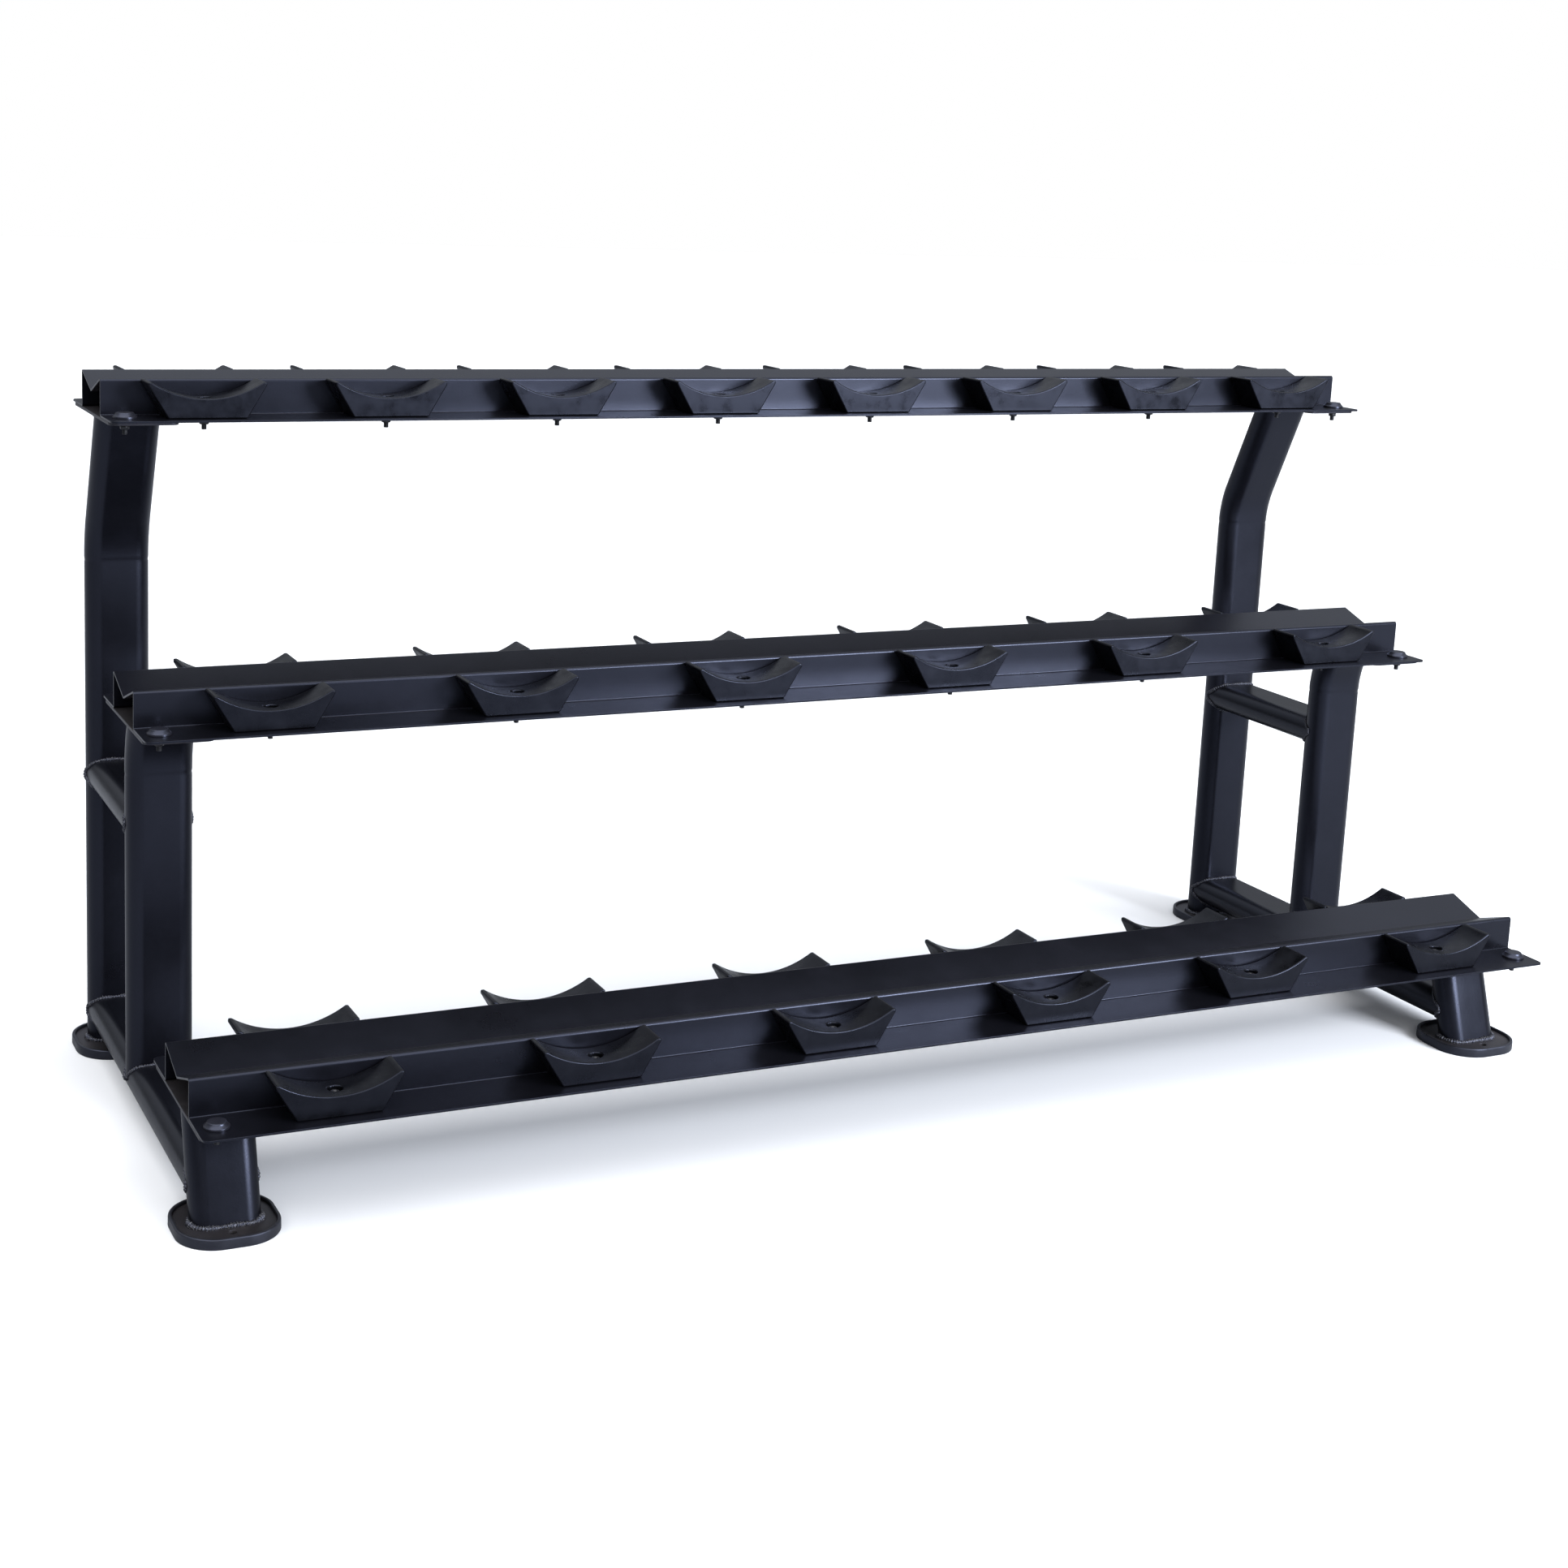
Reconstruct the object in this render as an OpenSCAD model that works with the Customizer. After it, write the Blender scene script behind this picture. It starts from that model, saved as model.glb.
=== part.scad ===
// Three-tier dumbbell rack for ten pairs.
// X runs along the shelves, -Y is the front, +Z is up.
// The origin is on the floor, under the middle of the rack.

/* [Shelves] */
// Length of all three shelves
shelf_length = 2300; // [1800:10:2400]
// Thickness of the folded shelf sheet
sheet = 3; // [2:0.5:4]
// Width of the flat flange on each side of a shelf
flange_w = 86; // [80:1:100]
// Distance between the two upright walls of a shelf
wall_gap = 145; // [120:1:160]
// Height of the walls above the underside of the flange
wall_h = 60; // [50:1:65]
// Height of the bottom of the valley between the walls
valley_h = 32.5; // [25:0.5:40]
// Radius of the flange corners
flange_corner_r = 10; // [4:1:15]

/* [Tiers] */
// Height of the lower shelf's flange above the floor
lower_z = 171; // [165:1:200]
// Height of the middle shelf's flange
middle_z = 624; // [600:1:660]
// Height of the top shelf's flange
top_z = 1051; // [1020:1:1100]
// Middle of the lower shelf, front to back
lower_y = -297.5; // [-302.5:0.5:-292.5]
// Middle of the middle shelf, front to back
middle_y = 60; // [58:0.5:61]
// Middle of the top shelf, front to back
top_y = 297.5; // [292.5:0.5:302.5]

/* [Side frames] */
// Wide side of the flat-oval tube
tube_w = 100; // [90:1:100]
// Narrow side of the flat-oval tube
tube_d = 50; // [44:1:50]
// Wall thickness of the tube
tube_wall = 2.5; // [2:0.5:4]
// Axis of the rear uprights, front to back
rear_y = 388.5; // [384.5:0.5:392.5]
// Axis of the middle uprights, front to back
middle_upright_y = 76; // [75:0.5:80]
// Angle at which both uprights bend forward near the top
bend_angle = 24; // [20:1:26]
// Radius of the bends, on the tube's axis
bend_r = 170; // [140:5:180]
// Backward lean of the front posts
post_lean = 18.5; // [15:0.5:20]
// Height of the base rail's axis
rail_z = 60; // [55:1:65]
// Height of the upper brace's axis
brace_z = 459; // [440:1:480]

/* [Shelf plates] */
// Width of the plate welded on top of each upright
plate_w = 105; // [102:1:110]
// Length of the plate, front to back
plate_l = 290; // [280:1:300]
// Thickness of the plate
plate_t = 5; // [4:0.5:8]

/* [Feet] */
// Width of the foot pad, along the shelves
pad_w = 147; // [140:1:155]
// Length of the foot pad, front to back
pad_l = 148; // [140:1:155]
// Corner radius of the foot pad
pad_r = 58; // [45:1:65]
// Height of the foot pad's rim
pad_h = 15.5; // [13:0.5:18]
// Middle of the rear feet, front to back
rear_foot_y = 378; // [375:1:384]
// Diameter of the hole for a floor anchor
anchor_d = 12; // [8:1:14]

/* [Saddles] */
// Width of a saddle from tip to tip
saddle_w = 179; // [160:1:190]
// Width of a saddle where it sits on the flange
saddle_base_w = 120; // [100:1:130]
// Height of the saddle's tips
saddle_h = 55; // [50:1:56]
// Thickness of rubber under the lowest point of the cradle
saddle_low_h = 30; // [26:1:34]
// Length of a saddle, front to back
saddle_l = 60; // [50:1:62]
// Saddles in each row of the top shelf
top_count = 8; // [8:1:8]
// Saddles in each row of the middle and lower shelves
low_count = 6; // [6:1:6]
// Distance between saddles on the top shelf
top_pitch = 286; // [240:1:288]
// Distance between saddles on the middle and lower shelves
low_pitch = 383; // [300:1:390]

/* [Hidden] */
$fn = 64;
clear = 0.2;

shelf_d = 2 * flange_w + wall_gap;
plate_x = shelf_length / 2 - plate_w / 2;
tube_x = plate_x - 2.5;
post_slope = tan(post_lean);

// How far a tube's end wraps round the tube it is welded to
cope = 20;

// Uprights: each bend starts where it brings the top of the tube under its shelf plate
bend_rise = bend_r * sin(bend_angle);
bend_shift = bend_r * (1 - cos(bend_angle));
bend_swell = 0.1;
function bend_start(axis_y, end_y, end_z) =
    end_z - bend_rise - (axis_y - bend_shift - end_y) / tan(bend_angle);
rear_bend_z = bend_start(rear_y, top_y, top_z - plate_t);
middle_bend_z = bend_start(middle_upright_y, middle_y - 5, middle_z - plate_t);

// Feet: a pad with a floor and a rim, and a steel plate inside the rim
pad_floor = 5;
pad_rim = 5.5;
foot_t = 6;
foot_top = pad_floor + foot_t;
front_foot_y = round(lower_y - (lower_z - plate_t - foot_top) * post_slope + 2);
anchor_offset = 46;

// Fasteners: M8 throughout
bolt_r = 4;
hole_r = 4.5;
nut_flats = 13;
nut_h = 6.5;
washer_t = 1.8;
shelf_bolt_x = shelf_length / 2 - 28;
shelf_bolt_y = shelf_d / 2 - flange_w / 2;
cap_r = 18;
cap_h = 9.5;
shelf_washer_r = 9;
saddle_washer_r = 10;
thread_end = 8;

// Saddles: a row on each flange, set close to the wall
saddle_gap = 2;
saddle_y = wall_gap / 2 + sheet / 2 + saddle_gap + saddle_l / 2;
tip_flat = 2.5;
tip_side = 4.5;
cradle_half = saddle_w / 2 - tip_flat;
cradle_rise = saddle_h - saddle_low_h;
cradle_r = (cradle_half * cradle_half + cradle_rise * cradle_rise) / (2 * cradle_rise);
recess_r = 10.5;
recess_floor = 19;
screw_head_r = 6.5;
screw_head_h = 7;
socket_r = 3.4;
socket_depth = 4;

COAT = [0.10, 0.10, 0.12];
PLATE = [0.12, 0.11, 0.11];
RUBBER = [0.06, 0.06, 0.065];
STEEL = [0.08, 0.08, 0.085];

// ---------- Shapes used more than once ----------

// Flat-oval section, wide side along X
module oval(inset = 0) {
    half = (tube_w - tube_d) / 2;
    r = tube_d / 2 - inset;
    square([2 * half, 2 * r], center = true);
    for (s = [-1, 1]) translate([s * half, 0]) circle(r);
}

// Rectangle with round corners, made of squares and circles
module round_rect(w, l, r) {
    square([w - 2 * r, l], center = true);
    square([w, l - 2 * r], center = true);
    for (sx = [-1, 1], sy = [-1, 1])
        translate([sx * (w / 2 - r), sy * (l / 2 - r)]) circle(r);
}

// Everything above a height, for cutting a tube level
module above(z) {
    translate([-shelf_length, -shelf_length, z]) cube([2 * shelf_length, 2 * shelf_length, 500]);
}

// Section of the tube's wall, which is a little thicker where the tube is bent
module oval_ring(swell = 0) {
    difference() {
        oval(-swell);
        oval(tube_wall + swell);
    }
}

// Tube that goes straight up and bends forward near its top
module bent_tube(y, z0, bend_z) {
    lap = 0.5;
    translate([0, y, z0]) linear_extrude(bend_z - z0 + lap) oval_ring();
    translate([0, y - bend_r, bend_z]) {
        rotate([90, 0, 90]) rotate_extrude(angle = bend_angle)
            translate([bend_r, 0]) rotate(90) oval_ring(bend_swell);
        rotate([bend_angle, 0, 0]) translate([0, bend_r, -lap]) linear_extrude(250) oval_ring();
    }
}

// Solid body of an upright's straight part, for shaping what is welded to it
module upright_body(y) {
    translate([0, y, 0]) linear_extrude(520) oval();
}

// Puts its children, drawn along Z, on the front post's axis
module on_post_axis() {
    translate([0, lower_y, lower_z - plate_t]) rotate([-post_lean, 0, 0]) children();
}

// Solid body of a level tube from front to back
module level_body(y0, y1, z) {
    translate([0, y1, z]) rotate([90, 0, 0]) linear_extrude(y1 - y0) oval();
}

// Level tube from front to back
module level_tube(y0, y1, z) {
    translate([0, y1, z]) rotate([90, 0, 0]) linear_extrude(y1 - y0) oval_ring();
}

// Hexagonal nut with a round bore, standing down from z
module nut(z) {
    translate([0, 0, z - nut_h]) difference() {
        cylinder(h = nut_h, r = nut_flats / 2 / cos(30), $fn = 6);
        translate([0, 0, -1]) cylinder(h = nut_h + 2, r = bolt_r);
    }
}

// Flat washer hanging down from z
module washer(z, r) {
    translate([0, 0, z - washer_t]) difference() {
        cylinder(h = washer_t, r = r);
        translate([0, 0, -1]) cylinder(h = washer_t + 2, r = bolt_r);
    }
}

// ---------- Side frames ----------

module rear_upright(side) {
    color(COAT) translate([side * tube_x, 0, 0]) difference() {
        bent_tube(rear_y, foot_top, rear_bend_z);
        above(top_z - plate_t);
    }
}

module middle_upright(side) {
    color(COAT) translate([side * tube_x, 0, 0]) difference() {
        bent_tube(middle_upright_y, rail_z + tube_d / 2 - cope, middle_bend_z);
        level_body(middle_upright_y - 60, middle_upright_y + 60, rail_z);
        above(middle_z - plate_t);
    }
}

module front_post(side) {
    color(COAT) translate([side * tube_x, 0, 0]) intersection() {
        on_post_axis() translate([0, 0, -220]) linear_extrude(260) oval_ring();
        translate([-tube_w, -500, foot_top]) cube([2 * tube_w, 500, lower_z - plate_t - foot_top]);
    }
}

module base_rail(side) {
    color(COAT) translate([side * tube_x, 0, 0]) difference() {
        level_tube(lower_y - 60, rear_y - tube_d / 2 + cope, rail_z);
        upright_body(rear_y);
        on_post_axis() translate([-tube_w, tube_d / 2 - 200, -260]) cube([2 * tube_w, 200, 300]);
    }
}

module upper_brace(side) {
    color(COAT) translate([side * tube_x, 0, 0]) difference() {
        level_tube(middle_upright_y + tube_d / 2 - cope, rear_y - tube_d / 2 + cope, brace_z);
        upright_body(rear_y);
        upright_body(middle_upright_y);
    }
}

module shelf_plate(side, y, z) {
    color(PLATE) difference() {
        translate([side * plate_x, y, z - plate_t]) linear_extrude(plate_t) round_rect(plate_w, plate_l, 14);
        for (s = [-1, 1]) translate([side * shelf_bolt_x, y + s * shelf_bolt_y, z - plate_t - 1])
            cylinder(h = plate_t + 2, r = hole_r);
    }
}

// ---------- Feet ----------

// end is -1 for a front foot and 1 for a rear foot
module foot_plate(side, y, end) {
    inside = 2 * (pad_rim + clear);
    color(PLATE) translate([side * tube_x, y, pad_floor]) difference() {
        linear_extrude(foot_t) round_rect(pad_w - inside, pad_l - inside, pad_r - inside / 2);
        translate([0, end * anchor_offset, -1]) cylinder(h = foot_t + 2, r = anchor_d / 2);
    }
}

module foot_pad(side, y, end) {
    color(RUBBER) translate([side * tube_x, y, 0]) difference() {
        linear_extrude(pad_h) round_rect(pad_w, pad_l, pad_r);
        translate([0, 0, pad_floor]) linear_extrude(pad_h)
            round_rect(pad_w - 2 * pad_rim, pad_l - 2 * pad_rim, pad_r - pad_rim);
        translate([0, end * anchor_offset, -1]) cylinder(h = pad_h, r = anchor_d / 2);
    }
}

// ---------- Shelves ----------

function unit(v) = v / norm(v);
function left_of(v) = [-v[1], v[0]];
function reversed(list) = [for (i = [len(list) - 1:-1:0]) list[i]];

// One face of a folded sheet: the path's points moved by s to the left, with round bends
function folded_face(path, r, s, steps = 4) = [
    for (i = [0:len(path) - 1])
        let (p = path[i], last = len(path) - 1)
        let (a = i == 0 ? unit(path[1] - p) : unit(p - path[i - 1]))
        let (b = i == last ? a : unit(path[i + 1] - p))
        let (turn = sign(a[0] * b[1] - a[1] * b[0]), angle = acos(min(1, a * b)))
        let (centre = p + turn * r * (left_of(a) + left_of(b)) / (1 + a * b))
        let (first = -turn * left_of(a), start = atan2(first[1], first[0]))
        each turn == 0
            ? [p + s * left_of(a)]
            : [for (k = [0:steps]) let (t = start + turn * angle * k / steps)
                centre + (r - turn * s) * [cos(t), sin(t)]]
];

// The section of a shelf: flange, wall, valley, wall, flange
module shelf_section() {
    low = sheet / 2;
    half = wall_gap / 2;
    path = [
        [-shelf_d / 2, low], [-half, low], [-half, wall_h - low], [0, valley_h],
        [half, wall_h - low], [half, low], [shelf_d / 2, low]
    ];
    bend = sheet;
    polygon(concat(folded_face(path, bend, low), reversed(folded_face(path, bend, -low))));
}

// The scrap that rounds one corner of a flange
module corner_scrap() {
    difference() {
        translate([0, 0, -1]) cube([flange_corner_r + 1, flange_corner_r + 1, sheet + 2]);
        translate([0, 0, -2]) cylinder(h = sheet + 4, r = flange_corner_r);
    }
}

module shelf(y, z, count, pitch) {
    color(COAT) translate([0, y, z]) difference() {
        rotate([90, 0, 90]) translate([0, 0, -shelf_length / 2])
            linear_extrude(shelf_length) shelf_section();
        for (sx = [0, 1], sy = [0, 1]) mirror([sx, 0, 0]) mirror([0, sy, 0]) {
            translate([shelf_length / 2 - flange_corner_r, shelf_d / 2 - flange_corner_r, 0]) corner_scrap();
            translate([shelf_bolt_x, shelf_bolt_y, -1]) cylinder(h = sheet + 2, r = hole_r);
        }
        for (i = [1:count], sy = [-1, 1])
            translate([saddle_x(i, count, pitch), sy * saddle_y, -1]) cylinder(h = sheet + 2, r = hole_r);
    }
}

// ---------- Saddles ----------

function saddle_x(i, count, pitch) = (i - (count + 1) / 2) * pitch;

module saddle() {
    half = saddle_w / 2;
    base = saddle_base_w / 2;
    difference() {
        translate([0, saddle_l / 2, 0]) rotate([90, 0, 0]) linear_extrude(saddle_l) polygon([
            [-base, 0], [base, 0], [half, saddle_h - tip_side], [half, saddle_h],
            [-half, saddle_h], [-half, saddle_h - tip_side]
        ]);
        translate([0, saddle_l, saddle_low_h + cradle_r]) rotate([90, 0, 0])
            cylinder(h = 2 * saddle_l, r = cradle_r, $fn = 180);
        translate([0, 0, recess_floor]) cylinder(h = saddle_h, r = recess_r);
        translate([0, 0, -1]) cylinder(h = saddle_h, r = hole_r);
    }
}

// The front and the rear saddle of one station
module saddle_pair(i, count, pitch, y, z) {
    color(RUBBER) for (s = [-1, 1])
        translate([saddle_x(i, count, pitch), y + s * saddle_y, z + sheet]) saddle();
}

// ---------- Fasteners ----------

// Runs its children at every shelf bolt of one shelf
module at_shelf_bolts(y, z) {
    for (sx = [-1, 1], sy = [-1, 1])
        translate([sx * shelf_bolt_x, y + sy * shelf_bolt_y, z]) children();
}

module at_all_shelf_bolts() {
    at_shelf_bolts(lower_y, lower_z) children();
    at_shelf_bolts(middle_y, middle_z) children();
    at_shelf_bolts(top_y, top_z) children();
}

// Runs its children at every saddle screw of one shelf
module at_screws(y, z, count, pitch) {
    for (i = [1:count], s = [-1, 1])
        translate([saddle_x(i, count, pitch), y + s * saddle_y, z]) children();
}

module at_all_screws() {
    at_screws(lower_y, lower_z, low_count, low_pitch) children();
    at_screws(middle_y, middle_z, low_count, low_pitch) children();
    at_screws(top_y, top_z, top_count, top_pitch) children();
}

// Large domed head on an M8 shank
module shelf_bolt() {
    shank = plate_t + washer_t + nut_h + thread_end;
    color(STEEL) {
        translate([0, 0, -shank]) cylinder(h = shank + sheet + 1, r = bolt_r);
        translate([0, 0, sheet]) rotate_extrude()
            polygon([[0, 0], [cap_r, 0], [cap_r, 2.5], [cap_r - 4, cap_h - 1.5], [cap_r - 8, cap_h], [0, cap_h]]);
    }
}

module shelf_bolt_washers() {
    color(STEEL) at_all_shelf_bolts() washer(-plate_t, shelf_washer_r);
}

module shelf_bolt_nuts() {
    color(STEEL) at_all_shelf_bolts() nut(-plate_t - washer_t);
}

// Socket-head screw that stands in the saddle's recess
module saddle_screw() {
    shank = washer_t + nut_h + thread_end;
    floor_z = sheet + recess_floor;
    difference() {
        union() {
            translate([0, 0, -shank]) cylinder(h = shank + floor_z + 1, r = bolt_r);
            translate([0, 0, floor_z]) cylinder(h = screw_head_h, r = screw_head_r);
        }
        translate([0, 0, floor_z + screw_head_h - socket_depth]) cylinder(h = socket_depth + 1, r = socket_r, $fn = 6);
    }
}

module saddle_screws() {
    color(STEEL) at_all_screws() saddle_screw();
}

module saddle_screw_washers() {
    color(STEEL) at_all_screws() washer(0, saddle_washer_r);
}

module saddle_screw_nuts() {
    color(STEEL) at_all_screws() nut(-washer_t);
}

// ---------- Nodes ----------

for (side = [-1, 1]) {
    name = side < 0 ? "left" : "right";
    rear_upright(side);
    middle_upright(side);
    front_post(side);
    base_rail(side);
    upper_brace(side);
    shelf_plate(side, lower_y, lower_z);
    shelf_plate(side, middle_y, middle_z);
    shelf_plate(side, top_y, top_z);
    foot_plate(side, front_foot_y, -1);
    foot_plate(side, rear_foot_y, 1);
    foot_pad(side, front_foot_y, -1);
    foot_pad(side, rear_foot_y, 1);
}
shelf(lower_y, lower_z, low_count, low_pitch);  // lower_shelf
shelf(middle_y, middle_z, low_count, low_pitch);  // middle_shelf
shelf(top_y, top_z, top_count, top_pitch);  // top_shelf
for (i = [1:low_count]) {
    saddle_pair(i, low_count, low_pitch, lower_y, lower_z);
    saddle_pair(i, low_count, low_pitch, middle_y, middle_z);
}
for (i = [1:top_count])
    saddle_pair(i, top_count, top_pitch, top_y, top_z);
at_shelf_bolts(lower_y, lower_z) shelf_bolt();  // lower_shelf_bolts
at_shelf_bolts(middle_y, middle_z) shelf_bolt();  // middle_shelf_bolts
at_shelf_bolts(top_y, top_z) shelf_bolt();  // top_shelf_bolts
shelf_bolt_washers();
shelf_bolt_nuts();
saddle_screws();
saddle_screw_washers();
saddle_screw_nuts();
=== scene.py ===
"""Looks of the three-tier dumbbell rack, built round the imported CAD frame.

Metres, in the row frame: X along the shelves, -Y out of the front, +Z up.
"""

import math
import random

import bmesh
import bpy
from mathutils import Matrix, Vector


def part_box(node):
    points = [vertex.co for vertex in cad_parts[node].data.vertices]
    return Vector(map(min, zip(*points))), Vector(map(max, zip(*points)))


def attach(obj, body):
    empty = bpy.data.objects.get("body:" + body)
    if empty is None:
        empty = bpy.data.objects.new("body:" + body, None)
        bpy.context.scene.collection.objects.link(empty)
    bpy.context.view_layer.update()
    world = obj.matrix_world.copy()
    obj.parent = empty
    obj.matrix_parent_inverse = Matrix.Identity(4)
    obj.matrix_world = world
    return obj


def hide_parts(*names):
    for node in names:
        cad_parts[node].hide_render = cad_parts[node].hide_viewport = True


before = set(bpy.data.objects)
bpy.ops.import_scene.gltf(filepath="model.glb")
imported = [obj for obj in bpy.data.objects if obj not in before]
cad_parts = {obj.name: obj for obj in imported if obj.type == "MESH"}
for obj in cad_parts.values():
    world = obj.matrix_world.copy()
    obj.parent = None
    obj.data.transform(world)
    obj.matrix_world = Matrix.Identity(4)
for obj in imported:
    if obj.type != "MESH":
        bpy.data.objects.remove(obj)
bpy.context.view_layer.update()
rng = random.Random(7)

MM = 0.001

# ---------- Sizes, in metres ----------

# Folded shelf sheet
SHEET = 3 * MM
FLANGE_W = 86 * MM
VALLEY_H = 32.5 * MM
FLANGE_CORNER_R = 10 * MM
SHEET_EDGE = 0.45 * MM

# Flat-oval tube of the side frames
TUBE_W = 100 * MM
TUBE_D = 50 * MM
TUBE_WALL = 2.5 * MM
SWELL = 0.1 * MM
BEND_SWELL = SWELL * 3
CREASE = 1.2 * MM
CREASE_L = 3 * MM
BEND_ANGLE = math.radians(24)
BEND_R = 170 * MM
POST_LEAN = math.radians(18.5)
MIDDLE_TOP_SHIFT = 5 * MM

# Weld beads
FLOOR_BEAD = 4.2 * MM
RAIL_BEAD = 3.0 * MM
BEAD_RIPPLE = 4.2 * MM
BEAD_LIFT = 0.6 * MM
FLOOR_BEAD_Z = 1 * MM

# Plates and feet
PLATE_R = 14 * MM
PAD_R = 58 * MM
PAD_RIM = 5.5 * MM
PAD_FLOOR = 5 * MM
ANCHOR_R = 6 * MM
ANCHOR_OFFSET = 46 * MM
HOLE_STEPS = 32

# Saddles
SADDLE_BASE_W = 120 * MM
SADDLE_LOW_H = 30 * MM
TIP_FLAT = 5 * MM
TIP_SIDE = 5 * MM
SADDLE_GAP = 2 * MM
SADDLE_EDGE = 2.3 * MM
RECESS_R = 10.5 * MM
RECESS_FLOOR = 19 * MM

# Fasteners
BOLT_R = 4 * MM
NUT_H = 6.5 * MM
NUT_FLATS = 13 * MM
NUT_FACE_R = 5.9 * MM
THREAD_PITCH = 1.25 * MM
THREAD_END = 8 * MM
WASHER_T = 1.8 * MM
SHELF_WASHER_R = 9 * MM
SADDLE_WASHER_R = 10 * MM
SCREW_HEAD_R = 6.5 * MM
SCREW_HEAD_H = 7 * MM
SOCKET_R = 4.2 * MM
SOCKET_FLATS = 6 * MM
SOCKET_DEPTH = 4 * MM
CAP_R = 18 * MM
CAP_H = 9.5 * MM

# Camera
AZIMUTH, ELEVATION, ROLL = (math.radians(a) for a in (-24.705, 10.572, 2.293))
CAMERA_AT = (-1.8339, -3.4014, 1.4756)
LENS = 55.11
SHIFT_X, SHIFT_Y = 0.06, -0.117

# Studio: colours, strengths, and the overhead light's direction
COOL_LIGHT = (0.86, 0.91, 1.0)
ROOM_Z = (0.1, 0.75)
ROOM_STRENGTH = (0.15, 0.95)
OVERHEAD_STRENGTH = 3.1
OVERHEAD_ANGLE = math.radians(80)
OVERHEAD_WAY = (0.2, 0.45, -1.0)
SOFTBOX_SIZE = (2.0, 1.7)
SOFTBOX_POWER = 440
SOFTBOX_AT = (2.45, -4.2, 2.05)
SOFTBOX_AIM = (0.4, 0, 0.9)
FLOOR_HALF = 30.0
FLOOR_SEEN = ((0.88, 0.88, 0.885), (0.92, 0.92, 0.922))
FLOOR_LIT = (0.32, 0.33, 0.35)

# Names, and the number of dumbbell places on each shelf
TIERS = ("lower", "middle", "top")
PLACES = {"lower": 6, "middle": 6, "top": 8}
SIDES = ("left", "right")


# ---------- Placing pieces ----------


def box_of(node):
    """Lowest corner, highest corner and centre of a CAD node, as vectors."""
    lo, hi = (Vector(c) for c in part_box(node))
    return lo, hi, (lo + hi) / 2


def add_piece(name, mesh, material, nodes=()):
    """Puts a mesh in the scene as a piece that rides on the rack."""
    piece = bpy.data.objects.new(name, mesh)
    bpy.context.collection.objects.link(piece)
    if not mesh.materials:
        mesh.materials.append(material)
    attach(piece, "root")
    if nodes:
        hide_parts(*nodes)
    return piece


def mesh_from(name, verts, faces):
    """A smooth mesh with its doubled points merged and its faces turned outwards."""
    mesh = bpy.data.meshes.new(name)
    mesh.from_pydata([tuple(v) for v in verts], [], faces)
    tidy = bmesh.new()
    tidy.from_mesh(mesh)
    bmesh.ops.remove_doubles(tidy, verts=tidy.verts, dist=1e-6)
    bmesh.ops.recalc_face_normals(tidy, faces=tidy.faces)
    tidy.to_mesh(mesh)
    tidy.free()
    mesh.shade_smooth()
    return mesh


def soften(piece, width, angle=35):
    """Rounds a piece's sharp edges and keeps its flat faces flat."""
    bevel = piece.modifiers.new("edges", "BEVEL")
    bevel.width = width
    bevel.segments = 2
    bevel.limit_method = "ANGLE"
    bevel.angle_limit = math.radians(angle)
    bevel.harden_normals = False
    bevel.use_clamp_overlap = True
    normals = piece.modifiers.new("normals", "WEIGHTED_NORMAL")
    normals.keep_sharp = False
    normals.weight = 80


def joined(name, meshes):
    """One mesh made of several, each given as (mesh, matrix)."""
    whole = bmesh.new()
    for part, matrix in meshes:
        part = part.copy()
        part.transform(matrix)
        whole.from_mesh(part)
    mesh = bpy.data.meshes.new(name)
    whole.to_mesh(mesh)
    whole.free()
    mesh.shade_smooth()
    return mesh


# ---------- Materials ----------


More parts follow.
